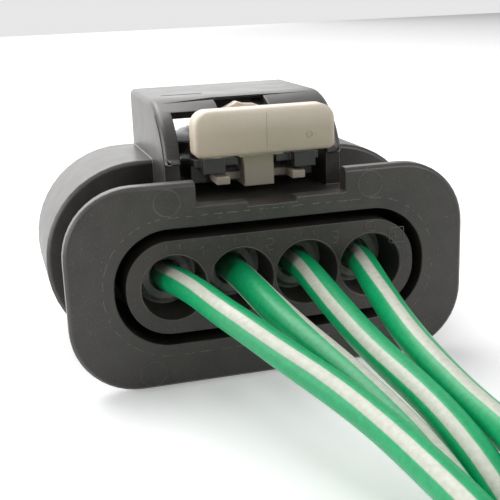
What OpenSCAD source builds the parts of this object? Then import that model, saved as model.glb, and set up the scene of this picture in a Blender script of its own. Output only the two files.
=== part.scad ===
// Four-way sealed wire-to-device connector, socket half, with its harness tails.
// X runs across the contact row, +Y points out of the mating side, +Z is up.
// The origin is on the surface that the connector rests on, under the middle of its housing.

/* [Contact row] */
// Distance between neighbouring contacts
contact_pitch = 5.0; // [4.85:0.05:5.6]
// Bore of each wire cavity
cavity_d = 4.75; // [4.5:0.05:4.8]
// Wall of the contact carrier round the wire cavities
carrier_wall = 1.1; // [0.9:0.05:1.3]
// Corner radius of the carrier
carrier_r = 3.3; // [2.4:0.1:3.3]
// How far the wire cavities reach into the carrier
cavity_depth = 7.9; // [7.7:0.1:8.2]
// Clearance slot between the carrier and the flange round it
slot_gap = 0.8; // [0.6:0.05:1.0]
// Width of the square cavity that holds a contact
contact_bay_w = 4.0; // [3.8:0.05:4.2]
// Height of the cavity that holds a contact
contact_bay_h = 3.2; // [3.0:0.05:3.4]
// Overall length of the carrier with its retainer
carrier_l = 17.6; // [17.2:0.1:18]
// Thickness of the front retainer plate
retainer_t = 0.8; // [0.6:0.05:1.0]

/* [Housing] */
// Length of the housing from flange to mating rim
body_l = 18.2; // [18:0.1:20]
// Width of the rear flange
flange_w = 30.3; // [28.6:0.1:30.5]
// Height of the rear flange
flange_h = 15.0; // [14:0.1:15.2]
// Thickness of the rear flange
flange_t = 1.3; // [1.1:0.05:1.5]
// Corner radius of the rear flange
flange_r = 5.0; // [4.5:0.1:6]
// Width of the notch in the top of the flange
notch_w = 11.2; // [11.1:0.05:11.4]
// Height of the notch floor above the contact row
notch_floor = 5.75; // [5.5:0.05:6]
// Width of the deeper step in the middle of the notch
notch_step_w = 3.6; // [2:0.1:5]
// Wall of the neck between flange and shroud
neck_wall = 1.15; // [1:0.05:1.3]
// Width of the mating shroud
shroud_w = 31.5; // [30.6:0.1:32]
// Height of the mating shroud
shroud_h = 15.4; // [15.3:0.1:16]
// Corner radius of the shroud
shroud_r = 7.6; // [6.8:0.1:7.6]
// Wall of the shroud
shroud_wall = 1.2; // [1:0.05:1.4]
// Where the shroud starts, measured from the flange's rear face
shroud_y = 9.0; // [8.8:0.1:9.2]
// Small chamfer on the outer edges of flange and shroud
edge_chamfer = 0.25; // [0.1:0.05:0.35]

/* [Latch tower] */
// Width over the two tower walls
tower_w = 13.8; // [13.7:0.05:14.3]
// Thickness of the tower walls
tower_wall = 1.2; // [1.1:0.05:1.2]
// Height of the tower roof above the contact row
tower_top = 12.35; // [12.25:0.05:12.8]
// Thickness of the tower roof
roof_t = 0.85; // [0.7:0.05:0.9]
// Radius of the swept-back rear edge of the tower
tower_arc_r = 6.1; // [5.8:0.1:6.3]
// Foot of the tower walls, measured from the flange's rear face
tower_y = 3.7; // [3.5:0.1:3.9]
// Rounding of the tower's outer edges
tower_edge = 0.45; // [0.3:0.05:0.5]
// How far the foot of the tower walls is set in under the swept-back edge
heel_set = 0.7; // [0.5:0.05:1]
// Height of the swept-back edge's lower end above the contact row
heel_z = 8.0; // [7.9:0.05:8.2]
// Width of the notch in the roof
roof_notch_w = 4.0; // [3.9:0.1:4.6]
// Front end of the notch in the roof
roof_notch_y = 8.6; // [8.5:0.1:9]
// Skin left over the hump's channel under the roof
roof_skin = 0.3; // [0.25:0.01:0.32]
// Length of the blind mark slot on the roof
mark_l = 3.2; // [1:0.1:3.4]

/* [Latch lever] */
// Width of the lever
lever_w = 9.6; // [9.4:0.1:9.8]
// Thickness of the lever plate
lever_t = 0.6; // [0.5:0.05:0.65]
// Underside of the lever plate above the contact row
lever_z = 7.75; // [7.72:0.01:7.8]
// Rear end of the lever
lever_y = 2.8; // [2.7:0.05:2.9]
// Front end of the lever
lever_end = 17.4; // [16.8:0.1:17.8]
// Pivot axis of the lever, measured from the flange's rear face
pivot_y = 11.0; // [10.8:0.1:11.4]
// Diameter of the pivot studs
pivot_d = 1.1; // [0.9:0.05:1.1]
// Radial clearance of the pivot studs
pivot_clear = 0.05; // [0.03:0.01:0.08]
// Depth of the pivot sockets in the tower walls
pivot_depth = 0.6; // [0.4:0.05:0.65]
// Thickness of the lever's upright side rails
rib_t = 1.2; // [1.1:0.05:1.3]
// Height of the side rails' rear ends above the contact row
rib_top = 10.55; // [10.2:0.05:10.6]

/* [Position assurance slide] */
// Width of the thumb bar
bar_w = 10.5; // [10.4:0.1:11]
// Height of the thumb bar
bar_h = 3.3; // [3.2:0.05:3.4]
// Depth of the thumb bar
bar_t = 1.9; // [1.7:0.05:1.9]
// Underside of the thumb bar above the contact row
bar_z = 8.85; // [8.8:0.05:8.9]
// Rear face of the thumb bar, measured from the flange's rear face
bar_y = 1.0; // [0.8:0.05:1]
// Rear wall that is left where the bar is cored out
bar_skin = 0.9; // [0.7:0.05:0.9]
// Travel of the slide from pre-lock to lock
slide_travel = 2.8; // [2.4:0.1:2.8]
// Width of the centre stem
stem_w = 2.3; // [2:0.05:2.4]
// Top of the detent hump above the contact row
ramp_top = 11.97; // [11.8:0.01:11.97]

/* [Seals] */
// Rear face of the wire seals inside their cavities
seal_y = 3.2; // [3:0.1:3.3]
// Diameter of a wire seal's rear end
seal_end_d = 3.7; // [3.4:0.1:4]
// Height of the interface seal's lips over its band
seal_lip = 0.5; // [0.4:0.05:0.7]
// Thickness of the interface seal's band
seal_band = 1.0; // [0.8:0.05:1.2]

/* [Contacts] */
// Width of a contact's box
contact_w = 3.2; // [3.1:0.05:3.2]
// Height of a contact's box
contact_h = 2.4; // [2.3:0.05:2.4]
// Width of the blade that the contacts take
blade_w = 2.8; // [2.6:0.05:2.8]
// Thickness of the blade that the contacts take
blade_t = 0.8; // [0.6:0.05:0.8]
// Sheet thickness of the outer spring cage
cage_t = 0.25; // [0.2:0.01:0.3]

/* [Harness] */
// Outer diameter of each wire
wire_d = 2.0; // [1.8:0.05:2]
// Thickness of the band that ties the coil
tie_t = 0.5; // [0.4:0.05:0.6]
// Width of the band that ties the coil
tie_w = 2.0; // [1.6:0.1:3]

/* [Hidden] */
$fn = 48;

ways = 4;
snug = 0.05;      // slip fit between moulded pieces
eps = 0.01;       // overshoot of a cut

row_span = contact_pitch * (ways - 1);
carrier_w = row_span + cavity_d + 2 * carrier_wall;
carrier_h = cavity_d + 2 * carrier_wall;
nose_l = carrier_l - retainer_t;
row_z = shroud_h / 2;
rear_y = -body_l / 2;

neck_grow = slot_gap + neck_wall;
neck_top = carrier_h / 2 + neck_grow;
collar_grow = slot_gap + 0.5;
collar_y = shroud_y - 0.4;
web_t = 1.2;                       // wall that closes the shroud round the neck
collar_t = shroud_y + web_t - collar_y;
socket_y = shroud_y + web_t;

tower_in = tower_w - 2 * tower_wall;
arc_y = tower_y + tower_arc_r;
arc_z = tower_top - tower_arc_r;
roof_under = tower_top - roof_t;
roof_rib_h = 1.1;
roof_rib_t = 0.8;
sill_z = 7.4;
pivot_z = lever_z + lever_t / 2;

bar_front = bar_y + bar_t;
stem_front = 5.7;
stem_back = 3.2;
stem_under = 6.15;
slide_slot_w = stem_w + 0.6;
window_w = 4.4;
window_l = 2.6;
window_y = lever_end - 4.8;
grip_l = 2.2;                      // raised bar at the lever's front end
pad_l = 2.2;                       // thumb pads at the lever's rear end
pad_in = 2.65;
pad_out = 4.3;
pad_z = 7.35;
pad_h = 1.15;
plate_set = 0.8;                   // how far the plate stands back between the pads
rib_y = lever_y + 2.3;
rib_l = 6.5;
rib_fall = 7;                      // slope of the rails towards the front, degrees
rib_round = rib_t - 0.1;
skirt_z = 6.3;
skirt_l = 3.6;
beam_w = 3.4;
hump_y = 7.2;                      // rear side of the detent hump
leg_w = 1.0;
leg_x = 2.9;
leg_z = 6.55;
leg_t = 0.6;

retainer_leg_w = 4;
retainer_leg_t = 0.6;
retainer_leg_l = 3.6;

seal_l = 2.4;
lip_l = 0.4;
grip_r = 1.45;                     // neck of a wire seal, which the contact grips
neck_l = 1.6;
seal_body_l = 2.9;
seal_end_l = 0.4;
seal_rib_l = 0.45;
lip_step = 0.85;
recess_l = 1.2;                    // how deep the wire's recess is in the seal's end
neck_end = seal_y + seal_body_l + neck_l;

crimp_y = neck_end - 1.3;
box_l = 6.6;
box_y = nose_l - box_l - 0.3;
barrel_y = neck_end + 0.4;
floor_t = 0.3;
sole_z = -contact_h / 2 - 0.35;
cage_y = box_y + 0.9;
cage_l = box_l - 1.2;
lance_w = 1.4;
lance_y = cage_y + 1.4;
lance_l = 2.4;
lance_rise = 0.7;

wire_r = wire_d / 2;
floor_z = -row_z;                  // surface that everything rests on, from the row
coil_side = 15;                    // how far the coil lies to the right of its wires
coil_turn_r = 12;                  // middle of the coil's turns
coil_band_w = 4 * wire_d;
coil_band_h = 2 * wire_d;
coil_at = [0.5 + coil_side, -45];         // centre of the coil, from the row and the flange
coil_under = floor_z + tie_t;
tie_turn = 200;                    // where round the coil its tie sits

// Routes of the four tails, from the crimp to the coil
wire_routes = [
    [
        [-7.5, 7.7, 0], [-7.5, 5.2, 0], [-7.5, 2.6, 0.1], [-7.3, -0.2, 0.5],
        [-6.5, -3.4, 0.45], [-5.8, -6.6, 0.25], [-4.8, -10, -0.1], [-3.7, -13, -0.65],
        [-2.6, -16, -1.15], [-1.6, -19, -1.6], [-0.85, -22.1, -2], [-0.4, -25.3, -2.3],
        [0, -28.6, -2.65], [0.35, -32, -3.2], [0.5, -35.7, -3.95], [0.5, -39.5, -4.2]
    ],
    [
        [-2.5, 7.7, 0], [-2.5, 5.2, 0], [-2.5, 2.6, 0.05], [-2.55, -0.7, 0.25],
        [-2.4, -4.2, 0.1], [-2.05, -7.3, -0.25], [-1.5, -10.2, -0.75], [-0.8, -12.9, -1.3],
        [-0.1, -15.6, -1.9], [0.5, -18.6, -2.5], [1, -21.9, -3.15], [1.2, -25.3, -3.85],
        [1.1, -28.7, -4.65], [0.85, -32, -5.4], [0.55, -35.7, -6.05], [0.5, -39.5, -6.2]
    ],
    [
        [2.5, 7.7, 0], [2.5, 5.2, 0], [2.45, 2.6, 0.1], [2.2, -0.8, 0.3],
        [2.1, -4.1, 0], [2.15, -7.3, -0.5], [2.3, -10.5, -1.05], [2.5, -13.6, -1.5],
        [2.75, -16.6, -1.85], [3, -19.6, -2.25], [3.15, -22.6, -2.8], [3.2, -25.7, -3.6],
        [3.1, -29, -4.65], [2.8, -32.5, -5.65], [2.5, -36.3, -6.2]
    ],
    [
        [7.5, 7.7, 0], [7.5, 5.2, 0], [7.35, 2.6, 0.05], [6.7, -0.8, 0.25],
        [5.95, -4.5, 0.05], [5.45, -7.8, -0.35], [5.1, -11, -0.8], [4.95, -14.1, -1.3],
        [5, -17.2, -1.85], [5.15, -20.3, -2.3], [5.25, -23.3, -2.5], [4.95, -26.3, -2.55],
        [4.2, -29.3, -2.8], [3.2, -32.7, -3.5], [2.55, -36.3, -4.1]
    ]
];

// Moves a piece drawn from the flange's rear face and the contact row to its place.
module seat() {
    translate([0, rear_y, row_z]) children();
}

// Extrudes an X-Z outline along Y, between two stations.
module slab(from, to) {
    translate([0, to, 0]) rotate([90, 0, 0]) linear_extrude(to - from) children();
}

// Extrudes a Y-Z outline along X, between two stations.
module across(from, to) {
    translate([from, 0, 0]) rotate([90, 0, 90]) linear_extrude(to - from) children();
}

// Rectangle with exact round corners.
module round_rect(w, h, r) {
    square([w - 2 * r, h], center = true);
    square([w, h - 2 * r], center = true);
    for (x = [-1, 1], z = [-1, 1]) {
        translate([x * (w / 2 - r), z * (h / 2 - r)]) circle(r);
    }
}

// Outline of the contact carrier, grown by a wall or a clearance.
module carrier_outline(grow = 0) {
    round_rect(carrier_w + 2 * grow, carrier_h + 2 * grow, carrier_r + grow);
}

// Block with the same chamfer on the edges of both ends.
module chamfered(w, h, r, from, to, c) {
    hull() {
        slab(from + c, to - c) round_rect(w, h, r);
        slab(from, to) round_rect(w - 2 * c, h - 2 * c, r - c);
    }
}

function way_x(i) = (i - (ways - 1) / 2) * contact_pitch;

// Side view of the tower: a block whose rear edge is swept back in a quarter circle.
module tower_side(inset) {
    r = tower_arc_r - inset;
    translate([arc_y, neck_top - eps]) square([body_l - arc_y, tower_top - inset - neck_top + eps]);
    translate([arc_y - r, neck_top - eps]) square([r, arc_z - neck_top + eps]);
    intersection() {
        translate([arc_y, arc_z]) circle(r, $fn = 64);
        translate([arc_y - r, arc_z]) square([r, r]);
    }
}

// Tower before it is hollowed, its outer edges rounded.
module tower_block() {
    hull() for (a = [0 : 30 : 90]) {
        half_w = tower_w / 2 - tower_edge * (1 - cos(a));
        across(-half_w, half_w) tower_side(tower_edge * (1 - sin(a)));
    }
}

module tower() {
    // cross rib that stiffens the roof, in front of the hump's channel
    translate([-tower_in / 2 - eps, roof_notch_y + slide_travel, roof_under - roof_rib_h]) {
        cube([tower_in + 2 * eps, roof_rib_t, tower_top - 0.1 - roof_under + roof_rib_h]);
    }
    // sill between the tower walls, under the lever
    translate([-tower_in / 2 - eps, shroud_y, neck_top - eps]) {
        cube([tower_in + 2 * eps, web_t, sill_z - neck_top + eps]);
    }
    difference() {
        tower_block();
        slab(0, body_l + eps) {
            translate([-tower_in / 2, 0]) square([tower_in, roof_under]);
        }
        // heel under the swept-back edge
        translate([-tower_w / 2 - eps, 0, neck_top]) {
            cube([tower_w + 2 * eps, tower_y + heel_set, heel_z - neck_top]);
        }
        // notch in the roof, and the channel that lets the detent hump pass under it
        translate([-roof_notch_w / 2, tower_y, arc_z]) {
            cube([roof_notch_w, roof_notch_y - tower_y, tower_arc_r + eps]);
        }
        translate([-roof_notch_w / 2, tower_y, arc_z]) {
            cube([roof_notch_w, roof_notch_y + slide_travel - tower_y,
                tower_top - roof_skin - arc_z]);
        }
        // blind mark slot
        translate([-roof_notch_w / 2 - mark_l - 0.3, roof_notch_y + 2.4, tower_top - 0.2]) {
            cube([mark_l, 0.3, 1]);
        }
    }
}

module shroud() {
    difference() {
        chamfered(shroud_w, shroud_h, shroud_r, shroud_y, body_l, edge_chamfer);
        slab(socket_y, body_l + eps) {
            round_rect(shroud_w - 2 * shroud_wall, shroud_h - 2 * shroud_wall,
                shroud_r - shroud_wall);
        }
        // latch slot through the top
        translate([-tower_in / 2, shroud_y - eps, neck_top]) {
            cube([tower_in, body_l, shroud_h]);
        }
    }
}

module flange() {
    difference() {
        chamfered(flange_w, flange_h, flange_r, 0, flange_t, edge_chamfer);
        translate([-notch_w / 2, -eps, notch_floor]) cube([notch_w, flange_t + 2 * eps, flange_h]);
        translate([-notch_step_w / 2, -eps, neck_top]) {
            cube([notch_step_w, flange_t + 2 * eps, flange_h]);
        }
    }
}

module outer_housing() {
    color("#3a3836") seat() difference() {
        union() {
            flange();
            slab(flange_t - eps, shroud_y + eps) carrier_outline(neck_grow);
            shroud();
            tower();
        }
        // rear opening, with the carrier's clearance slot
        slab(-eps, collar_y + eps) carrier_outline(slot_gap);
        // seat of the carrier's collar
        slab(collar_y, socket_y + eps) carrier_outline(collar_grow + snug);
        // sockets of the lever's pivot studs
        translate([-tower_in / 2 - pivot_depth, pivot_y, pivot_z]) rotate([0, 90, 0]) {
            cylinder(h = tower_in + 2 * pivot_depth, d = pivot_d + 2 * pivot_clear, $fn = 32);
        }
    }
}

module contact_carrier() {
    leg_cut = retainer_leg_t + snug;
    color("#35332f") seat() difference() {
        union() {
            slab(0, nose_l) carrier_outline();
            slab(collar_y, collar_y + collar_t) carrier_outline(collar_grow);
        }
        for (i = [0 : ways - 1]) translate([way_x(i), 0, 0]) {
            translate([0, -eps, 0]) rotate([-90, 0, 0]) cylinder(h = cavity_depth, d = cavity_d);
            slab(cavity_depth - 2 * eps, nose_l + eps) {
                square([contact_bay_w, contact_bay_h], center = true);
            }
            // pocket that the spring cage's lance snaps into
            translate([-lance_w / 2 - 0.1, lance_y - 0.2, 0]) {
                cube([lance_w + 0.2, lance_l + 0.4, contact_bay_h / 2 + lance_rise]);
            }
        }
        // grooves for the retainer's legs
        for (z = [-1, 1]) translate([0, 0, z * (carrier_h / 2 - leg_cut / 2 + eps / 2)]) {
            translate([-retainer_leg_w / 2 - snug, nose_l - retainer_leg_l - snug, -leg_cut / 2]) {
                cube([retainer_leg_w + 2 * snug, retainer_leg_l + 1, leg_cut + eps]);
            }
        }
    }
}

module front_retainer() {
    color("#4a4744") seat() {
        difference() {
            slab(nose_l, carrier_l) carrier_outline();
            for (i = [0 : ways - 1]) translate([way_x(i), 0, 0]) {
                slab(nose_l - eps, carrier_l + eps) {
                    square([blade_w + 0.3, blade_t + 0.3], center = true);
                }
            }
        }
        for (z = [-1, 1]) {
            translate([-retainer_leg_w / 2, nose_l - retainer_leg_l,
                z * (carrier_h / 2 - retainer_leg_t / 2) - retainer_leg_t / 2]) {
                cube([retainer_leg_w, retainer_leg_l + eps, retainer_leg_t]);
            }
        }
    }
}

module interface_seal() {
    color("#5b3a2c") seat() difference() {
        union() {
            slab(socket_y, socket_y + seal_l) carrier_outline(seal_band);
            for (k = [0 : 2]) {
                lip_y = socket_y + 0.2 + k * (seal_l - 0.4 - lip_l) / 2;
                slab(lip_y, lip_y + lip_l) carrier_outline(seal_band + seal_lip);
            }
        }
        slab(socket_y - eps, socket_y + seal_l + eps) carrier_outline();
    }
}

// Side rail of the lever on the side of the given sign: a skirt below the plate, and a rail
// above it with a rounded top that falls towards the front.
module side_rail(side) {
    inner = side * (lever_w / 2 - rib_t);
    outer = side * lever_w / 2;
    fall = rib_l * tan(rib_fall);
    shoulder = rib_top - rib_round;
    across(min(inner, outer), max(inner, outer)) polygon([
        [rib_y, lever_z], [rib_y, shoulder], [rib_y + rib_l, shoulder - fall],
        [rib_y + rib_l, lever_z]
    ]);
    translate([min(inner, outer), rib_y, skirt_z]) {
        cube([rib_t, skirt_l, lever_z + lever_t / 2 - skirt_z]);
    }
    translate([inner, rib_y, rib_top]) rotate([-rib_fall, 0, 0]) {
        slab(0, rib_l) {
            translate([side * (rib_t - rib_round), -rib_round]) circle(rib_round);
            translate([min(0, side * (rib_t - rib_round)), -rib_round - 0.2]) {
                square([rib_t - rib_round, rib_round + 0.2]);
            }
            translate([min(0, side * rib_t), -rib_round - 0.2]) square([rib_t, 0.2]);
        }
    }
}

module latch_lever() {
    color("#1f1e1d") seat() {
        difference() {
            union() {
                translate([-lever_w / 2, lever_y + plate_set, lever_z]) {
                    cube([lever_w, lever_end - lever_y - plate_set, lever_t]);
                }
                translate([-lever_w / 2, lever_end - grip_l, lever_z]) {
                    cube([lever_w, grip_l, lever_t + 0.3]);
                }
            }
            // slot for the slide's stem, and the window that catches the mating ramp
            translate([-slide_slot_w / 2, lever_y - eps, lever_z - 1]) {
                cube([slide_slot_w, stem_front + slide_travel + 0.4 - lever_y, 3]);
            }
            translate([-window_w / 2, window_y, lever_z - 1]) cube([window_w, window_l, 3]);
        }
        for (x = [-1, 1]) {
            translate([x * (pad_in + pad_out) / 2 - (pad_out - pad_in) / 2, lever_y, pad_z]) {
                cube([pad_out - pad_in, pad_l, pad_h]);
            }
            side_rail(x);
            translate([x * (lever_w / 2 - eps), pivot_y, pivot_z]) rotate([0, x * 90, 0]) {
                cylinder(h = (tower_in - lever_w) / 2 + pivot_depth - 0.1, d = pivot_d, $fn = 32);
            }
        }
    }
}

// Outline of the thumb bar: large corners above, small ones below.
module bar_outline(inset) {
    top_r = 1.1;
    low_r = 0.5;
    for (x = [-1, 1]) {
        translate([x * (bar_w / 2 - top_r), bar_z + bar_h - top_r]) {
            circle(top_r - inset, $fn = 32);
        }
        translate([x * (bar_w / 2 - low_r), bar_z + low_r]) circle(low_r - inset, $fn = 24);
    }
}

// Thumb bar with softly rounded edges, cored out from its front side.
module thumb_bar() {
    edge = 0.35;
    pocket_w = (lever_w - beam_w) / 2 + 0.1;
    pocket_x = beam_w / 2 + pocket_w / 2;
    difference() {
        hull() {
            for (a = [0 : 30 : 90]) {
                slab(bar_y + edge * (1 - sin(a)), bar_front - edge * (1 - sin(a)) / 2) {
                    bar_outline(edge * (1 - cos(a)));
                }
            }
        }
        for (x = [-1, 1]) {
            translate([x * pocket_x - pocket_w / 2, bar_y + bar_skin, lever_z]) {
                cube([pocket_w, bar_t, rib_top + 0.25 - lever_z]);
            }
        }
    }
}

module cpa_slide() {
    beam_z = lever_z + lever_t + 0.15;
    color("#b5aca0") seat() {
        thumb_bar();
        // centre beam on top of the lever, with the detent hump at its front end
        translate([-beam_w / 2, bar_front - 0.5, beam_z]) {
            cube([beam_w, roof_notch_y - 0.4 - bar_front + 0.5, 1.9]);
        }
        slab(hump_y, roof_notch_y - 0.4) polygon([
            [-beam_w / 2, beam_z + 1.8], [-beam_w / 2, ramp_top - 0.6], [-0.4, ramp_top],
            [0.2, ramp_top - 0.2], [1, ramp_top - 0.25], [beam_w / 2, ramp_top - 0.55],
            [beam_w / 2, beam_z + 1.8]
        ]);
        // stem through the lever, and the tie plate and legs under it
        translate([-stem_w / 2, stem_back, stem_under]) {
            cube([stem_w, stem_front - stem_back, beam_z + 0.2 - stem_under]);
        }
        translate([-leg_x - leg_w / 2, stem_front - 1.4, leg_z]) {
            cube([2 * leg_x + leg_w, 1.4, leg_t]);
        }
        for (x = [-1, 1]) translate([x * leg_x - leg_w / 2, stem_back - 0.6, leg_z]) {
            cube([leg_w, stem_front - stem_back + 0.6, leg_t]);
        }
    }
}

// Half profile of a wire seal, radius against length from its rear end.
module seal_profile() {
    lip_r = cavity_d / 2;
    square([seal_end_d / 2, seal_body_l / 2]);
    translate([0, seal_end_l]) square([lip_r - 0.3, seal_body_l - seal_end_l]);
    for (k = [0 : 2]) translate([0, 0.6 + k * lip_step]) square([lip_r, seal_rib_l]);
    translate([0, seal_body_l / 2]) square([grip_r, seal_body_l / 2 + neck_l]);
}

module wire_seal(i) {
    color("#4d4b47") seat() translate([way_x(i), seal_y, 0]) rotate([-90, 0, 0]) {
        rotate_extrude() difference() {
            seal_profile();
            translate([0, -eps]) square([wire_r, seal_body_l + neck_l + 1]);
            translate([0, -eps]) square([wire_r + 0.25, recess_l]);
        }
    }
}

module contact(i) {
    color("#c9c6bd") seat() translate([way_x(i), 0, 0]) {
        // grip round the seal's neck
        translate([0, crimp_y, 0]) rotate([-90, 0, 0]) difference() {
            cylinder(h = neck_end + 0.15 - crimp_y, r = grip_r + floor_t, $fn = 32);
            translate([0, 0, -eps]) cylinder(h = neck_end, r = grip_r, $fn = 32);
        }
        // strands, the barrel crimped on them, and the sole that joins everything to the box
        translate([0, neck_end, 0]) rotate([-90, 0, 0]) cylinder(h = 0.6, r = 0.6, $fn = 24);
        translate([0, barrel_y, 0]) rotate([-90, 0, 0]) cylinder(h = 1.4, r = 0.95, $fn = 24);
        translate([-0.8, neck_end, sole_z]) cube([1.6, box_y + 0.3 - neck_end, floor_t]);
        translate([-0.6, barrel_y, sole_z]) cube([1.2, 1.4, -sole_z]);
        translate([-0.8, box_y, sole_z]) cube([1.6, 0.3, 0.6]);
        difference() {
            slab(box_y, box_y + box_l) square([contact_w, contact_h], center = true);
            slab(box_y + 0.6, box_y + box_l + eps) {
                square([contact_w - 2 * floor_t, contact_h - 2 * floor_t], center = true);
            }
        }
    }
}

module spring_cage(i) {
    in_w = contact_w + 2 * snug;
    in_h = contact_h + 2 * snug;
    color("#9a9a98") seat() translate([way_x(i), 0, 0]) {
        difference() {
            slab(cage_y, cage_y + cage_l) {
                square([in_w + 2 * cage_t, in_h + 2 * cage_t], center = true);
            }
            slab(cage_y - eps, cage_y + cage_l + eps) square([in_w, in_h], center = true);
        }
        // locking lance, rising towards the wire side
        across(-lance_w / 2, lance_w / 2) polygon([
            [lance_y + lance_l, in_h / 2 + cage_t / 2], [lance_y, in_h / 2 + cage_t + 0.55],
            [lance_y, in_h / 2 + cage_t + 0.3], [lance_y + lance_l - 0.5, in_h / 2 + cage_t / 2]
        ]);
    }
}

// Sweep of a wire along its route: one ring of eight points square to the route at each stop.
wire_sides = 8;
function unit(v) = v / norm(v);
function heading(p, k) = unit(p[min(k + 1, len(p) - 1)] - p[max(k - 1, 0)]);
function side_of(t) = unit(cross(t, [0, 0, 1]));
function ring(p, k) = let(t = heading(p, k), u = side_of(t), v = cross(u, t)) [
    for (s = [0 : wire_sides - 1]) let(a = (s + 0.5) * 360 / wire_sides)
        p[k] + wire_r * (cos(a) * u + sin(a) * v)
];
function skin(rings) = [
    for (k = [0 : rings - 2], s = [0 : wire_sides - 1])
        let(a = k * wire_sides, n = (s + 1) % wire_sides)
        [a + s, a + n, a + wire_sides + n, a + wire_sides + s]
];

module wire(route) {
    rings = len(route);
    color("#0f9c58") seat() polyhedron(
        points = [for (k = [0 : rings - 1]) each ring(route, k)],
        faces = concat(
            [[for (s = [wire_sides - 1 : -1 : 0]) s]],
            skin(rings),
            [[for (s = [0 : wire_sides - 1]) (rings - 1) * wire_sides + s]]
        )
    );
}

// The rest of the four tails: one neat coil, as its outer shape.
module wire_coil() {
    color("#0f9c58") seat() translate([coil_at.x, coil_at.y, coil_under]) {
        rotate_extrude($fn = 64) translate([coil_turn_r - coil_band_w / 2, 0]) {
            square([coil_band_w, coil_band_h]);
        }
    }
}

module coil_tie() {
    slack = 0.15;
    in_w = coil_band_w + 2 * slack;
    in_h = coil_band_h + slack;
    color("#262626") seat() translate([coil_at.x, coil_at.y, coil_under]) rotate(tie_turn)
    translate([coil_turn_r, 0, 0]) {
        slab(-tie_w / 2, tie_w / 2) difference() {
            translate([0, in_h / 2]) round_rect(in_w + 2 * tie_t, in_h + 2 * tie_t, tie_t);
            translate([-in_w / 2, 0]) square([in_w, in_h]);
        }
        translate([in_w / 2 + tie_t - 0.1, -tie_w / 2 - 0.3, 0.6]) cube([1.7, tie_w + 0.6, 2.4]);
    }
}

outer_housing();
contact_carrier();
front_retainer();
interface_seal();
latch_lever();
cpa_slide();
wire_coil();
coil_tie();
for (i = [0 : ways - 1]) {
    wire_seal(i);
    contact(i);
    spring_cage(i);
    wire(wire_routes[i]);
}
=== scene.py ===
"""Four-way sealed automotive connector with its green and cream wire tails.

All lengths are metres in the part's own frame: X across the contact row, +Y out of the
mating side, +Z up, with the origin on the surface under the middle of the housing.
"""

import bmesh
import bpy
import numpy as np
from mathutils import Matrix


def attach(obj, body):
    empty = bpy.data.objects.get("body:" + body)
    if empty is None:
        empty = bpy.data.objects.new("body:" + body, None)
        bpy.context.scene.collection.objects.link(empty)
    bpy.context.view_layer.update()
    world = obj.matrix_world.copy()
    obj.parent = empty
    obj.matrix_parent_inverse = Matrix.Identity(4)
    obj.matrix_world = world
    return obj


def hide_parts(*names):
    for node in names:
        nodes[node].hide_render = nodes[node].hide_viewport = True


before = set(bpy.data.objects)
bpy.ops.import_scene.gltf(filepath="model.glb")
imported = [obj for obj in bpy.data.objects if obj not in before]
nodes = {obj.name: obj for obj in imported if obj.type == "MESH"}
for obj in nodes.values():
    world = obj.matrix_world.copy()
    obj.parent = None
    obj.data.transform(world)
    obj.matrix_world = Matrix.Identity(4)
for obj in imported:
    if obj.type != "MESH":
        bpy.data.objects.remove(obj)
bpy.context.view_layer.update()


# ---------------------------------------------------------------------------
# Camera: in front of the wire side, a little to the left and above, held with a
# slight tilt of the hand.

MM = 0.001
REAR_Y = -9.1 * MM  # the flange's rear face
ROW_Z = 7.7 * MM  # the row of contacts above the surface


def seat(points):
    """Points measured from the flange's rear face and the contact row, in millimetres,
    moved to the part's frame in metres."""
    return np.asarray(points, float) * MM + np.array([0, REAR_Y, ROW_Z])


EYE = [-19.52, -63.56, 20.63]  # the camera's place, as seat() takes it
right = np.array([0.96005, -0.27755, -0.03579])
up = np.array([0.10803, 0.24958, 0.96231])
camera_data = bpy.data.cameras.new("camera")
camera_data.sensor_width = 36
camera_data.lens = 68.4
camera_data.clip_start = 0.005
camera_data.clip_end = 20
camera = bpy.data.objects.new("camera", camera_data)
bpy.context.scene.collection.objects.link(camera)
place = np.eye(4)
place[:3, 0] = right
place[:3, 1] = up
place[:3, 2] = np.cross(right, up)
place[:3, 3] = seat(EYE)
camera.matrix_world = Matrix(place.tolist())
bpy.context.scene.camera = camera
bpy.context.scene.view_settings.view_transform = "Standard"


# ---------------------------------------------------------------------------
# Floor and light: a pale sheet under the part, a soft lamp above, a broad low one
# behind that catches the upper faces, weak ones at both sides, and a white room.


def put_mesh(name, points, faces, smooth=True):
    """A mesh object from an array of points and a list of faces, faces pointing outwards."""
    mesh = bpy.data.meshes.new(name)
    mesh.from_pydata(np.asarray(points, float).reshape(-1, 3).tolist(), [], faces)
    mesh.polygons.foreach_set("use_smooth", [smooth] * len(mesh.polygons))
    mesh.update()
    obj = bpy.data.objects.new(name, mesh)
    bpy.context.scene.collection.objects.link(obj)
    return obj


def new_material(name):
    """An empty node material: returns it, its nodes, its links and its Principled shader."""
    mat = bpy.data.materials.new(name)
    mat.use_nodes = True
    tree = mat.node_tree
    return mat, tree.nodes, tree.links, tree.nodes["Principled BSDF"]


def seen_directly(nodes_, links):
    """1 for rays from the eye, from a mirror image or through glass, 0 for light on its way."""
    path = nodes_.new("ShaderNodeLightPath")
    total = path.outputs["Is Camera Ray"]
    for way in ("Is Glossy Ray", "Is Transmission Ray"):
        either = nodes_.new("ShaderNodeMath")
        either.operation = "MAXIMUM"
        links.new(total, either.inputs[0])
        links.new(path.outputs[way], either.inputs[1])
        total = either.outputs[0]
    return total


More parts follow.
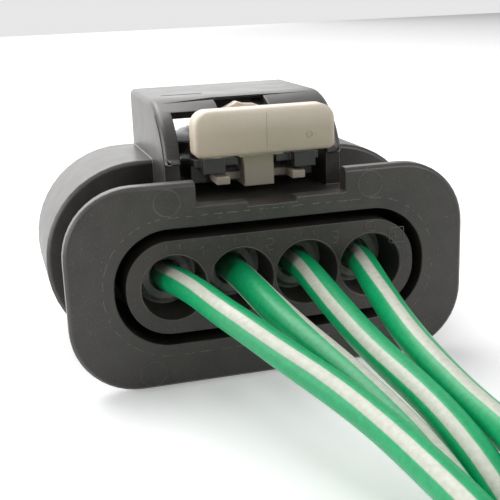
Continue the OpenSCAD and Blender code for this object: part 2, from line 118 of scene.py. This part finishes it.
def white_to_the_eye(nodes_, links, shade, strength):
    """Adds a white glow that only the eye and mirror images see to a shader output."""
    seen = seen_directly(nodes_, links)
    glow = nodes_.new("ShaderNodeEmission")
    glow.inputs["Strength"].default_value = strength
    both = nodes_.new("ShaderNodeAddShader")
    links.new(shade, both.inputs[0])
    links.new(glow.outputs[0], both.inputs[1])
    choose = nodes_.new("ShaderNodeMixShader")
    links.new(seen, choose.inputs[0])
    links.new(shade, choose.inputs[1])
    links.new(both.outputs[0], choose.inputs[2])
    return choose.outputs[0]


FLOOR_REACH = 0.6
FLOOR_GLOW = 0.32
ROOM_LIGHT = 0.62
ROOM_SEEN = 1.0
corners = np.array([[-1, -1, 0], [1, -1, 0], [1, 1, 0], [-1, 1, 0]])
floor = put_mesh("floor", FLOOR_REACH * corners, [(0, 1, 2, 3)])
floor_mat, n, l, shader = new_material("pale floor")
shader.inputs["Base Color"].default_value = (0.86, 0.86, 0.86, 1)
shader.inputs["Roughness"].default_value = 0.9
shader.inputs["Specular IOR Level"].default_value = 0.0
out = n["Material Output"]
l.new(white_to_the_eye(n, l, shader.outputs[0], FLOOR_GLOW), out.inputs["Surface"])
floor.data.materials.append(floor_mat)

world = bpy.data.worlds.new("white room")
bpy.context.scene.world = world
world.use_nodes = True
n, l = world.node_tree.nodes, world.node_tree.links
room = n["Background"]
room.inputs["Strength"].default_value = ROOM_LIGHT
seen_room = n.new("ShaderNodeBackground")
seen_room.inputs["Strength"].default_value = ROOM_SEEN
choose = n.new("ShaderNodeMixShader")
l.new(seen_directly(n, l), choose.inputs[0])
l.new(room.outputs[0], choose.inputs[1])
l.new(seen_room.outputs[0], choose.inputs[2])
l.new(choose.outputs[0], n["World Output"].inputs["Surface"])


def soft_lamp(name, spot, aim, size, power):
    """A square area lamp at a spot, facing the point it is aimed at."""
    data = bpy.data.lights.new(name, "AREA")
    data.shape = "SQUARE"
    data.size = size
    data.energy = power
    lamp = bpy.data.objects.new(name, data)
    spot, aim = np.array(spot, float), np.array(aim, float)
    back = (spot - aim) / np.linalg.norm(spot - aim)
    side = np.cross([0, 0.1, 1], back)
    side /= np.linalg.norm(side)
    turn = np.eye(4)
    turn[:3, 0], turn[:3, 1], turn[:3, 2], turn[:3, 3] = side, np.cross(back, side), back, spot
    lamp.matrix_world = Matrix(turn.tolist())
    bpy.context.scene.collection.objects.link(lamp)


soft_lamp("sky lamp", [-0.10, 0.16, 0.34], [0, 0, 0.01], 0.30, 1.5)
soft_lamp("left lamp", [-0.34, 0.04, 0.12], [0, 0, 0.008], 0.25, 0.8)
soft_lamp("right lamp", [0.20, -0.28, 0.20], [0, 0, 0.010], 0.25, 0.7)
soft_lamp("back lamp", [-0.06, 0.50, 0.24], [0, 0, 0.012], 0.60, 1.3)


# ---------------------------------------------------------------------------
# Outer housing: one moulding of glass-filled black polyester, with its flange, neck,
# shroud and latch tower. The mould's edges are a little rounded and its faces spark
# eroded; ejectors and mould joints leave fine raised lines on it.


def noise_bump(nodes_, links, shader, size, depth, detail=2.0):
    """Fine surface relief: noise of a given grain size, in metres, raised by a depth.
    Returns the noise and the object's own coordinates that place it."""
    where = nodes_.new("ShaderNodeTexCoord")
    grain = nodes_.new("ShaderNodeTexNoise")
    grain.inputs["Scale"].default_value = 1 / size
    grain.inputs["Detail"].default_value = detail
    links.new(where.outputs["Object"], grain.inputs["Vector"])
    bump = nodes_.new("ShaderNodeBump")
    bump.inputs["Strength"].default_value = 1.0
    bump.inputs["Distance"].default_value = depth
    links.new(grain.outputs["Fac"], bump.inputs["Height"])
    links.new(bump.outputs["Normal"], shader.inputs["Normal"])
    return grain, where.outputs["Object"]


def colour_spread(nodes_, links, source, socket, low, high, start=0.3, end=0.7):
    """Colours a surface from one tone to another as a noise value rises."""
    ramp = nodes_.new("ShaderNodeValToRGB")
    ramp.color_ramp.elements[0].position = start
    ramp.color_ramp.elements[0].color = (*low, 1)
    ramp.color_ramp.elements[1].position = end
    ramp.color_ramp.elements[1].color = (*high, 1)
    links.new(source, ramp.inputs["Fac"])
    links.new(ramp.outputs["Color"], socket)


def rare_spots(nodes_, links, where, size, start, end):
    """1 in the few places where a noise of the given grain size is highest, 0 elsewhere."""
    noise = nodes_.new("ShaderNodeTexNoise")
    noise.inputs["Scale"].default_value = 1 / size
    noise.inputs["Detail"].default_value = 1
    links.new(where, noise.inputs["Vector"])
    ramp = nodes_.new("ShaderNodeValToRGB")
    ramp.color_ramp.elements[0].position = start
    ramp.color_ramp.elements[1].position = end
    links.new(noise.outputs["Fac"], ramp.inputs["Fac"])
    return ramp.outputs["Color"]


def black_plastic(name, tone, roughness, grain=0.16, depth=0.010, dust=0.10, skin=0.0):
    """Moulded black plastic: an eroded grain in relief, a cloudy tone and gloss, and a few
    pale spots of dust and rubbed fibre. The skin is the resin-rich surface that shines
    where it is seen edgeways. Grain and depth are in millimetres."""
    mat, n, l, shader = new_material(name)
    _, where = noise_bump(n, l, shader, grain * MM, depth * MM, 3)
    cloud = n.new("ShaderNodeTexNoise")
    cloud.inputs["Scale"].default_value = 1 / (1.6 * MM)
    cloud.inputs["Detail"].default_value = 5
    l.new(where, cloud.inputs["Vector"])
    warm = np.array([1.0, 0.86, 0.74])
    mix = n.new("ShaderNodeMix")
    mix.data_type = "RGBA"
    colour_spread(n, l, cloud.outputs["Fac"], mix.inputs["A"], 0.75 * tone * warm, 1.3 * tone * warm)
    mix.inputs["B"].default_value = (dust, dust * 0.97, dust * 0.92, 1)
    l.new(rare_spots(n, l, where, 0.11 * MM, 0.66, 0.78), mix.inputs["Factor"])
    l.new(mix.outputs["Result"], shader.inputs["Base Color"])
    rough = n.new("ShaderNodeMapRange")
    rough.inputs["From Min"].default_value = 0.3
    rough.inputs["From Max"].default_value = 0.7
    rough.inputs["To Min"].default_value = roughness - 0.06
    rough.inputs["To Max"].default_value = roughness + 0.06
    l.new(cloud.outputs["Fac"], rough.inputs["Value"])
    l.new(rough.outputs["Result"], shader.inputs["Roughness"])
    shader.inputs["Specular IOR Level"].default_value = 0.5 - 0.35 * skin
    shader.inputs["Coat Weight"].default_value = skin
    shader.inputs["Coat Roughness"].default_value = 0.3
    return mat


def moulded(node, name, body, material, edge=0.08, corner=34):
    """A solid as it leaves its tool: a copy with its triangles joined and flat faces made
    one, every edge sharper than the corner angle rounded by the edge width in millimetres."""
    cast = bmesh.new()
    cast.from_mesh(nodes[node].data)
    bmesh.ops.remove_doubles(cast, verts=cast.verts, dist=0.001 * MM)
    bmesh.ops.dissolve_limit(
        cast, angle_limit=np.radians(0.5), verts=cast.verts, edges=cast.edges
    )
    mesh = bpy.data.meshes.new(name)
    cast.to_mesh(mesh)
    cast.free()
    if "custom_normal" in mesh.attributes:
        mesh.attributes.remove(mesh.attributes["custom_normal"])
    mesh.materials.clear()
    mesh.materials.append(material)
    mesh.polygons.foreach_set("material_index", [0] * len(mesh.polygons))
    mesh.polygons.foreach_set("use_smooth", [True] * len(mesh.polygons))
    mesh.set_sharp_from_angle(angle=np.radians(corner))
    piece = bpy.data.objects.new(name, mesh)
    bpy.context.scene.collection.objects.link(piece)
    if edge:
        bevel = piece.modifiers.new("rounded edges", "BEVEL")
        bevel.width = edge * MM
        bevel.segments = 2
        bevel.limit_method = "ANGLE"
        bevel.angle_limit = np.radians(corner)
        bevel.use_clamp_overlap = False
        bevel.harden_normals = True
    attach(piece, body)
    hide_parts(node)
    return piece


def tube_faces(stations, sides, base=0, caps=True):
    """Quads between neighbouring rings, and a many-sided face over each end."""
    k, s = np.meshgrid(np.arange(stations - 1), np.arange(sides), indexing="ij")
    nxt = (s + 1) % sides
    quads = np.stack([k * sides + s, k * sides + nxt, (k + 1) * sides + nxt, (k + 1) * sides + s], -1)
    faces = (quads.reshape(-1, 4) + base).tolist()
    if caps:
        faces.append((np.arange(sides)[::-1] + base).tolist())
        faces.append((np.arange(sides) + (stations - 1) * sides + base).tolist())
    return faces


def ridges(name, lines, facing, half, height, material, body):
    """Fine raised lines on a moulded face: along each line an eight-sided oval tube, half its
    width to each side and its height out of the face, its lower half sunk in the plastic."""
    facing = np.array(facing, float)
    a = np.arange(8) * np.pi / 4
    points, faces = [], []
    for line in lines:
        line = np.asarray(line, float)
        t = np.gradient(line, axis=0)
        side = np.cross(t, facing)
        side /= np.linalg.norm(side, axis=1)[:, None]
        swell = np.full(len(line), 1.0)
        swell[[0, -1]] = 0.35
        ring = half * np.cos(a)[None, :, None] * side[:, None]
        ring = ring + height * np.sin(a)[None, :, None] * facing
        faces += tube_faces(len(line), 8, base=sum(len(p) for p in points))
        points.append((line[:, None] + ring * swell[:, None, None]).reshape(-1, 3))
    piece = put_mesh(name, seat(np.vstack(points)), faces)
    outward(piece)
    piece.data.materials.append(material)
    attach(piece, body)


def outward(piece):
    """Turns the faces of a closed mesh to point out of it."""
    skin = bmesh.new()
    skin.from_mesh(piece.data)
    bmesh.ops.recalc_face_normals(skin, faces=skin.faces)
    skin.to_mesh(piece.data)
    skin.free()


def circle_line(x, y, z, r, count=48):
    """A level-sided circle on an upright face: X and Z turn round the centre."""
    a = np.linspace(0, 2 * np.pi, count + 1)
    return np.stack([x + r * np.cos(a), np.full_like(a, y), z + r * np.sin(a)], 1)


def oblong_line(half_w, half_h, r, y, step=0.12):
    """Points at even steps round a rectangle with round corners: four quarter circles, in
    turn, joined by straight sides."""
    corners = np.array([[1, 1], [-1, 1], [-1, -1], [1, -1]]) * [half_w - r, half_h - r]
    a = np.radians(np.arange(0, 91, 6))
    arcs = [
        c + r * np.stack([np.cos(a + k * np.pi / 2), np.sin(a + k * np.pi / 2)], 1)
        for k, c in enumerate(corners)
    ]
    loop = np.vstack(arcs + [arcs[0][:1]])
    run = np.r_[0, np.cumsum(np.linalg.norm(np.diff(loop, axis=0), axis=1))]
    at = np.arange(0, run[-1], step)
    return np.stack([np.interp(at, run, loop[:, 0]), np.full_like(at, y), np.interp(at, run, loop[:, 1])], 1)


def broken(line, seed, lengths, gaps, wander=0.02):
    """Pieces of a line with gaps between them, both of chance lengths counted in points,
    wandering a little sideways as a rubbed mould joint does."""
    chance = np.random.default_rng(seed)
    line = line + chance.normal(0, wander, line.shape) * [1, 0, 1]
    cuts = np.cumsum(chance.integers([lengths[0], gaps[0]], [lengths[1], gaps[1]], (len(line), 2)).ravel())
    cuts = cuts[cuts < len(line)]
    return [line[i:j] for i, j in zip(cuts[1::2], cuts[2::2]) if j - i > 1]


housing_black = black_plastic("housing black", 0.027, 0.48, skin=0.5)
moulded("outer_housing", "housing_moulding", "housing", housing_black, 0.10)

FACE_Y = 0  # the rear faces of flange and carrier
RING_R = 0.95
rubbed_black = black_plastic("rubbed black", 0.16, 0.5, 0.08, 0.01, 0.4)
ring_black = black_plastic("ejector ring black", 0.075, 0.45)
EJECTORS = [(-7.7, 6.17), (7.5, 6.18), (-9.4, -6.3), (9.4, -6.3)]
ridges(
    "ejector_rings", [circle_line(x, FACE_Y, z, RING_R) for x, z in EJECTORS], [0, -1, 0],
    0.05, 0.03, ring_black, "housing",
)
joint_line = oblong_line(12.6, 5.1, 4.9, FACE_Y, 0.05)
ridges(
    "flange_joint_line", broken(joint_line, 5, (4, 22), (1, 14), 0.02), [0, -1, 0],
    0.024, 0.02, rubbed_black, "housing",
)
TOWER_HALF_W = 6.9
SWEEP_Y, SWEEP_Z, SWEEP_R = 9.8, 6.25, 5.68  # centre and radius of the tower's swept-back edge
sweep = np.radians(np.arange(12, 66, 1.5))
on_arc = np.stack(
    [
        np.full_like(sweep, -TOWER_HALF_W),
        SWEEP_Y - SWEEP_R * np.cos(sweep),
        SWEEP_Z + SWEEP_R * np.sin(sweep),
    ],
    1,
)
# The tower's flash ridges are coloured much darker than the housing: painted shade for the shadow of a step
# along the swept-back edge.
flash_painted_shade = black_plastic("flash line with painted shade", 0.012, 0.5, 0.06, 0.02)
ridges(
    "tower_flash_ridges_painted_shade", [on_arc, on_arc * [-1, 1, 1]], [1, 0, 0],
    0.07, 0.03, flash_painted_shade, "housing",
)


# ---------------------------------------------------------------------------
# Contact carrier: a black polyester moulding pushed into the housing from the mating
# side, with four round wire cavities. Thin flash stands round each cavity, and low
# figures and marks beside them number the ways.

carrier_black = black_plastic("carrier black", 0.026, 0.46, 0.13, 0.012)
moulded("contact_carrier", "carrier_moulding", "housing", carrier_black, 0.07)

WAYS = [-7.5, -2.5, 2.5, 7.5]
CAVITY_R = 2.44
ridges(
    "cavity_flash",
    [circle_line(x, FACE_Y, 0, CAVITY_R + 0.02 * k) for k, x in enumerate(WAYS)], [0, -1, 0],
    0.045, 0.05, ring_black, "housing",
)


def strokes(x, z, size, steps):
    """A figure or mark drawn as one line: its steps, in parts of its size, from a corner."""
    p = np.array(steps, float) * size + [x, z]
    fine = [np.linspace(p[k], p[k + 1], 6)[:-1] for k in range(len(p) - 1)] + [p[-1:]]
    p = np.vstack(fine)
    return np.stack([p[:, 0], np.zeros(len(p)), p[:, 1]], 1)


FIGURES = [
    [(0.0, 0.7), (0.3, 1.0), (0.3, 0.0)],
    [(0.0, 1.0), (0.55, 1.0), (0.55, 0.5), (0.0, 0.45), (0.0, 0.0), (0.6, 0.0)],
    [(0.0, 1.0), (0.55, 1.0), (0.55, 0.5), (0.15, 0.5), (0.55, 0.48), (0.55, 0.0), (0.0, 0.0)],
    [(0.4, 0.0), (0.4, 1.0), (0.0, 0.35), (0.6, 0.35)],
]
marks = [strokes(x + 1.95, 2.0, 0.85, f) for x, f in zip(WAYS, FIGURES)]
marks[3] = strokes(9.15, 1.65, 0.85, FIGURES[3])
square = [(0, 0), (0, 1), (1, 1), (1, 0), (0, 0)]
marks += [strokes(9.05, 1.5, 1.15, square), strokes(7.15, 2.62, 0.7, square)]
marks += [strokes(x - 0.45, 2.75, 0.45, [(0, 0), (0.1, 1)]) for x in WAYS]
marks += [strokes(x + 0.55, 2.8, 0.4, [(0, 0), (-0.1, 1)]) for x in WAYS[:3]]
ridges("way_figures", marks, [0, -1, 0], 0.045, 0.045, ring_black, "housing")


# ---------------------------------------------------------------------------
# Interface seal and front retainer: a brown silicone ring with three lips, stretched
# over the carrier, and a grey plate clipped over the carrier's nose to lock the contacts.


def silicone(name, low, high, roughness):
    """Moulded silicone: an even, slightly dusty colour with a soft sheen."""
    mat, n, l, shader = new_material(name)
    grain, _ = noise_bump(n, l, shader, 0.25 * MM, 0.008 * MM, 3)
    colour_spread(n, l, grain.outputs["Fac"], shader.inputs["Base Color"], low, high)
    shader.inputs["Roughness"].default_value = roughness
    shader.inputs["Specular IOR Level"].default_value = 0.35
    shader.inputs["Sheen Weight"].default_value = 0.15
    return mat


brown = silicone("brown silicone", (0.10, 0.042, 0.028), (0.14, 0.062, 0.042), 0.5)
moulded("interface_seal", "interface_seal_ring", "housing", brown, 0.08)
grey_plastic = black_plastic("retainer grey", 0.10, 0.42, 0.12, 0.008, 0.2)
moulded("front_retainer", "retainer_plate", "housing", grey_plastic, 0.06)


# ---------------------------------------------------------------------------
# Latch lever: a glossy black polyamide rocker on two studs in the tower's walls. Its
# rear end carries two thumb pads and its front window catches the mating half's ramp.

lever_black = black_plastic("lever black", 0.020, 0.34, 0.3, 0.006, 0.05, 0.5)
moulded("latch_lever", "lever_moulding", "lever", lever_black, 0.07)


# ---------------------------------------------------------------------------
# Position assurance slide: undyed nylon, milky and slightly warm, that slides on the lever
# and blocks it, coloured with painted shade low down and a painted highlight at the top.
# A mould joint runs down the middle of its thumb bar, with the gate's mark beside it.


SLIDE_FOOT = 11 * MM
SLIDE_TOP = 20 * MM
BAR_Y = 1.0  # the thumb bar's rear face


def nylon_painted_by_height(name):
    """Undyed nylon with subsurface scattering, and painted light in its colour: painted shade
    makes the parts low down greyer and darker, and a painted highlight makes the upper edge
    paler than the middle. The painted tone runs from foot to top of the slide: (z - foot) / (top - foot)."""
    mat, n, l, shader = new_material(name)
    _, where = noise_bump(n, l, shader, 0.5 * MM, 0.010 * MM, 2)
    cloud = n.new("ShaderNodeTexNoise")
    cloud.inputs["Scale"].default_value = 1 / (3.5 * MM)
    cloud.inputs["Detail"].default_value = 3
    l.new(where, cloud.inputs["Vector"])
    place = n.new("ShaderNodeSeparateXYZ")
    l.new(where, place.inputs[0])
    rise = n.new("ShaderNodeMapRange")
    rise.inputs["From Min"].default_value = SLIDE_FOOT
    rise.inputs["From Max"].default_value = SLIDE_TOP
    l.new(place.outputs["Z"], rise.inputs["Value"])
    # Painted shade and highlight by height: greyer and darker towards the foot, paler towards the top.
    tone = n.new("ShaderNodeValToRGB")
    band = tone.color_ramp.elements
    band[0].position, band[0].color = 0.15, (0.25, 0.235, 0.225, 1)
    band[1].position, band[1].color = 0.60, (0.46, 0.40, 0.31, 1)
    for at, colour in ((0.80, (0.52, 0.455, 0.37, 1)), (0.97, (0.72, 0.66, 0.57, 1))):
        band.new(at).color = colour
    l.new(rise.outputs["Result"], tone.inputs["Fac"])
    mix = n.new("ShaderNodeMix")
    mix.data_type, mix.blend_type = "RGBA", "MULTIPLY"
    mix.inputs["Factor"].default_value = 1.0
    l.new(tone.outputs["Color"], mix.inputs["A"])
    colour_spread(n, l, cloud.outputs["Fac"], mix.inputs["B"], (0.90, 0.88, 0.85), (1.04, 1.02, 1.0))
    l.new(mix.outputs["Result"], shader.inputs["Base Color"])
    shader.inputs["Roughness"].default_value = 0.38
    shader.inputs["Specular IOR Level"].default_value = 0.45
    shader.inputs["Subsurface Weight"].default_value = 0.45
    shader.inputs["Subsurface Radius"].default_value = (1.0, 0.8, 0.6)
    shader.inputs["Subsurface Scale"].default_value = 0.6 * MM
    return mat


nylon = nylon_painted_by_height("nylon with painted shade and highlight")
moulded("cpa_slide", "slide_moulding", "slide", nylon, 0.08, 40)
up_bar = np.linspace(9.1, 11.9, 24)
bar_joint = np.stack([np.full_like(up_bar, 0.06), np.full_like(up_bar, BAR_Y), up_bar], 1)
ridges(
    "slide_joint_line", [bar_joint], [0, -1, 0],
    0.05, 0.03, nylon, "slide",
)
ridges(
    "slide_gate_mark",
    [circle_line(3.26, BAR_Y, 10.04, 0.22, 20), circle_line(3.2, BAR_Y, 10.0, 0.09, 12)],
    [0, -1, 0], 0.06, 0.05, nylon, "slide",
)


# ---------------------------------------------------------------------------
# Wire seals: four dark grey silicone plugs, each gripped with its wire by the contact
# and pressed into its cavity by three lips.

seal_grey = silicone("seal silicone", (0.27, 0.26, 0.245), (0.36, 0.345, 0.325), 0.5)
for i in range(1, 5):
    moulded(f"wire_seal_{i}", f"seal_plug_{i}", "housing", seal_grey, 0.06)


# ---------------------------------------------------------------------------
# Contacts and their spring cages: stamped tin-plated bronze, crimped on the wire, inside
# a folded stainless cage whose lance locks it in the carrier.


def sheet_metal(name, tone, roughness, grain):
    """Rolled and plated strip: bright metal with fine rolling marks and stained places."""
    mat, n, l, shader = new_material(name)
    rolling, _ = noise_bump(n, l, shader, grain * MM, 0.004 * MM, 4)
    colour_spread(n, l, rolling.outputs["Fac"], shader.inputs["Base Color"], [c * 0.8 for c in tone], tone)
    shader.inputs["Metallic"].default_value = 1.0
    shader.inputs["Roughness"].default_value = roughness
    return mat


tin = sheet_metal("tin plating", (0.72, 0.71, 0.68), 0.34, 0.4)
steel = sheet_metal("stainless strip", (0.58, 0.57, 0.55), 0.26, 0.6)
for i in range(1, 5):
    moulded(f"contact_{i}", f"contact_stamping_{i}", "housing", tin, 0.05)
    moulded(f"spring_cage_{i}", f"cage_folding_{i}", "housing", steel, 0.04)


# ---------------------------------------------------------------------------
# Wires: four copper wires in extruded green insulation with two cream stripes, each
# crimped in its contact. They drop from their seals to the surface side by side and
# are coiled away under a black nylon band, their far ends cut square and bare.

WIRE_D = 2.0 * MM
TAIL_L = 150 * MM
WIRE_SIDES = 48
STRIPE_HALF = 21  # degrees round the wire, each side of a stripe's middle
ROUTES = [
    [
        [-7.5, 7.7, 0], [-7.5, 5.2, 0], [-7.5, 2.6, 0.1], [-7.3, -0.2, 0.5],
        [-6.5, -3.4, 0.45], [-5.8, -6.6, 0.25], [-4.8, -10, -0.1], [-3.7, -13, -0.65],
        [-2.6, -16, -1.15], [-1.6, -19, -1.6], [-0.85, -22.1, -2], [-0.4, -25.3, -2.3],
        [0, -28.6, -2.65], [0.35, -32, -3.2], [0.5, -35.7, -3.95], [0.5, -39.5, -4.2],
    ],
    [
        [-2.5, 7.7, 0], [-2.5, 5.2, 0], [-2.5, 2.6, 0.05], [-2.55, -0.7, 0.25],
        [-2.4, -4.2, 0.1], [-2.05, -7.3, -0.25], [-1.5, -10.2, -0.75], [-0.8, -12.9, -1.3],
        [-0.1, -15.6, -1.9], [0.5, -18.6, -2.5], [1, -21.9, -3.15], [1.2, -25.3, -3.85],
        [1.1, -28.7, -4.65], [0.85, -32, -5.4], [0.55, -35.7, -6.05], [0.5, -39.5, -6.2],
    ],
    [
        [2.5, 7.7, 0], [2.5, 5.2, 0], [2.45, 2.6, 0.1], [2.2, -0.8, 0.3],
        [2.1, -4.1, 0], [2.15, -7.3, -0.5], [2.3, -10.5, -1.05], [2.5, -13.6, -1.5],
        [2.75, -16.6, -1.85], [3, -19.6, -2.25], [3.15, -22.6, -2.8], [3.2, -25.7, -3.6],
        [3.1, -29, -4.65], [2.8, -32.5, -5.65], [2.5, -36.3, -6.2],
    ],
    [
        [7.5, 7.7, 0], [7.5, 5.2, 0], [7.35, 2.6, 0.05], [6.7, -0.8, 0.25],
        [5.95, -4.5, 0.05], [5.45, -7.8, -0.35], [5.1, -11, -0.8], [4.95, -14.1, -1.3],
        [5, -17.2, -1.85], [5.15, -20.3, -2.3], [5.25, -23.3, -2.5], [4.95, -26.3, -2.55],
        [4.2, -29.3, -2.8], [3.2, -32.7, -3.5], [2.55, -36.3, -4.1],
    ],
]
COIL_AT = [15.5, -45]  # centre of the coil, from the row and the flange
COIL_FROM = [15, 15, 13, 13]  # radius of each wire's first turn
COIL_Z = [-4.2, -6.2, -6.2, -4.2]
STRIPE_AT = [  # (distance along the wire in mm, degrees round it) of one stripe's middle
    [(0, 60), (11, 58), (15, 55), (19, 53), (25, 59), (30, 55), (160, 55)],
    [(0, 145), (12, 142), (18, 117), (21, 107), (25, 105), (160, 100)],
    [(0, 49), (9, 48), (15, 43), (22, 44), (29, 51), (40, 58), (160, 60)],
    [(0, 65), (9, 67), (13, 76), (16, 82), (22, 82), (26, 87), (160, 90)],
]


def coil_turns(radius, z):
    """Points round the coil: the first turn at one radius for 300 degrees, 4 mm further
    in by the end of the turn, and on at that radius."""
    turn = np.arange(0, 800, 10.0)
    ease = np.clip((turn - 300) / 60, 0, 1)
    r = radius - 4 * ease**2 * (3 - 2 * ease)
    a = np.radians(180 + turn)
    return np.stack([COIL_AT[0] + r * np.cos(a), COIL_AT[1] + r * np.sin(a), np.full_like(r, z)], 1)


def smooth_line(points, step):
    """Natural cubic spline through the points, by chord length, sampled at even steps. On a
    span of length h, with second derivatives m0 and m1 at its ends p0 and p1 and distances
    n and f to its far and near end: (m0 n^3 + m1 f^3) / 6h + (p0/h - m0 h/6) n
    + (p1/h - m1 h/6) f. The derivatives solve h0 m0 + 2(h0 + h1) m1 + h1 m2 = 6 (s1 - s0)."""
    p = np.asarray(points, float)
    d = np.r_[0, np.cumsum(np.linalg.norm(np.diff(p, axis=0), axis=1))]
    h = np.diff(d)
    m = len(p)
    a = np.eye(m)
    inner = np.arange(1, m - 1)
    a[inner, inner - 1], a[inner, inner], a[inner, inner + 1] = h[:-1], 2 * (h[:-1] + h[1:]), h[1:]
    b = np.zeros((m, 3))
    slope = np.diff(p, axis=0) / h[:, None]
    b[1:-1] = 6 * np.diff(slope, axis=0)
    curve = np.linalg.solve(a, b)
    t = np.arange(0, d[-1], step)
    k = np.clip(np.searchsorted(d, t, "right") - 1, 0, m - 2)
    near, far, hk = (d[k + 1] - t)[:, None], (t - d[k])[:, None], h[k][:, None]
    return (
        (curve[k] * near**3 + curve[k + 1] * far**3) / (6 * hk)
        + (p[k] / hk - curve[k] * hk / 6) * near
        + (p[k + 1] / hk - curve[k + 1] * hk / 6) * far
    )


def tube_along(line, radii, sides):
    """Points of a tube: at each station of the line, a ring of the given radius in the
    plane square to the line, counted from the level direction on its left, upwards.
    Returns the points as stations x sides x 3."""
    t = np.gradient(line, axis=0)
    t /= np.linalg.norm(t, axis=1)[:, None]
    u = np.cross(t, [0, 0, 1])
    u /= np.linalg.norm(u, axis=1)[:, None]
    v = np.cross(u, t)
    a = np.arange(sides) * 2 * np.pi / sides
    rings = u[:, None] * np.cos(a)[None, :, None] + v[:, None] * np.sin(a)[None, :, None]
    return line[:, None] + rings * np.asarray(radii)[:, None, None]


def insulation(name):
    """Extruded green insulation with cream stripes printed in: cream where the wire's own
    `stripe` attribute, degrees from the nearest stripe's middle, is low; soft edges."""
    mat, n, l, shader = new_material(name)
    grain, _ = noise_bump(n, l, shader, 0.35 * MM, 0.012 * MM, 3)
    off = n.new("ShaderNodeAttribute")
    off.attribute_name = "stripe"
    edge = n.new("ShaderNodeMapRange")
    edge.interpolation_type = "SMOOTHSTEP"
    edge.inputs["From Min"].default_value = STRIPE_HALF - 3.5
    edge.inputs["From Max"].default_value = STRIPE_HALF + 3.5
    l.new(off.outputs["Fac"], edge.inputs["Value"])
    mix = n.new("ShaderNodeMix")
    mix.data_type = "RGBA"
    l.new(edge.outputs["Result"], mix.inputs["Factor"])
    colour_spread(n, l, grain.outputs["Fac"], mix.inputs["A"], (0.47, 0.49, 0.41), (0.57, 0.59, 0.50))
    colour_spread(n, l, grain.outputs["Fac"], mix.inputs["B"], (0.0, 0.29, 0.10), (0.0, 0.37, 0.135))
    l.new(mix.outputs["Result"], shader.inputs["Base Color"])
    shader.inputs["Roughness"].default_value = 0.38
    shader.inputs["Specular IOR Level"].default_value = 0.4
    return mat


def strand_ends(ends, heading):
    """Seven round strands at a cut end: six round one, each a short rod with a domed tip
    that stands out of the insulation."""
    u = np.cross(heading, [0, 0, 1])
    u /= np.linalg.norm(u)
    v = np.cross(u, heading)
    a = np.arange(6) * np.pi / 3
    spots = np.vstack([[0, 0], 0.43 * np.stack([np.cos(a), np.sin(a)], 1)])
    out = np.array([-0.8, 0.25, 0.33, 0.36])
    width = np.array([0.21, 0.21, 0.17, 0.05])
    b = np.arange(12) * np.pi / 6
    ring = np.stack([np.cos(b), np.sin(b)], 1)
    points = (
        ends
        + out[None, :, None, None] * MM * heading
        + (spots[:, None, None, 0:1] + width[None, :, None, None] * ring[None, None, :, 0:1]) * MM * u
        + (spots[:, None, None, 1:2] + width[None, :, None, None] * ring[None, None, :, 1:2]) * MM * v
    )
    faces = []
    for k in range(7):
        faces += tube_faces(4, 12, base=k * 48)
    return points.reshape(-1, 3), faces


tie_black = black_plastic("tie black", 0.02, 0.35, 0.2, 0.006)
band = moulded("coil_tie", "coil_band", "housing", tie_black, 0.08)

copper = sheet_metal("bare copper", (0.80, 0.42, 0.26), 0.3, 0.3)
wire_skin = insulation("striped insulation")
for i, route in enumerate(ROUTES):
    whole = smooth_line(np.vstack([route, coil_turns(COIL_FROM[i], COIL_Z[i])]), 0.4)
    run = np.r_[0, np.cumsum(np.linalg.norm(np.diff(whole, axis=0), axis=1))]
    line = seat(whole[run <= TAIL_L / MM])
    along = run[run <= TAIL_L / MM]
    rings = tube_along(line, np.full(len(line), WIRE_D / 2), WIRE_SIDES)
    faces = tube_faces(len(line), WIRE_SIDES)
    wire = put_mesh(f"wire_tail_{i + 1}", rings, faces)
    wire.data.materials.append(wire_skin)
    centre = np.interp(along, *np.array(STRIPE_AT[i], float).T)
    facing = np.arange(WIRE_SIDES) * 360 / WIRE_SIDES
    off = np.abs((facing[None] - centre[:, None] + 90) % 180 - 90)
    stripe = wire.data.attributes.new("stripe", "FLOAT", "POINT")
    stripe.data.foreach_set("value", off.ravel())
    outward(wire)
    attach(wire, "housing")
    heading = line[-1] - line[-2]
    points, faces = strand_ends(line[-1], heading / np.linalg.norm(heading))
    strands = put_mesh(f"copper_strands_{i + 1}", points, faces)
    outward(strands)
    strands.data.materials.append(copper)
    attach(strands, "housing")
    if i == 0:
        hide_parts("wire_1", "wire_coil")
    else:
        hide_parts(f"wire_{i + 1}")
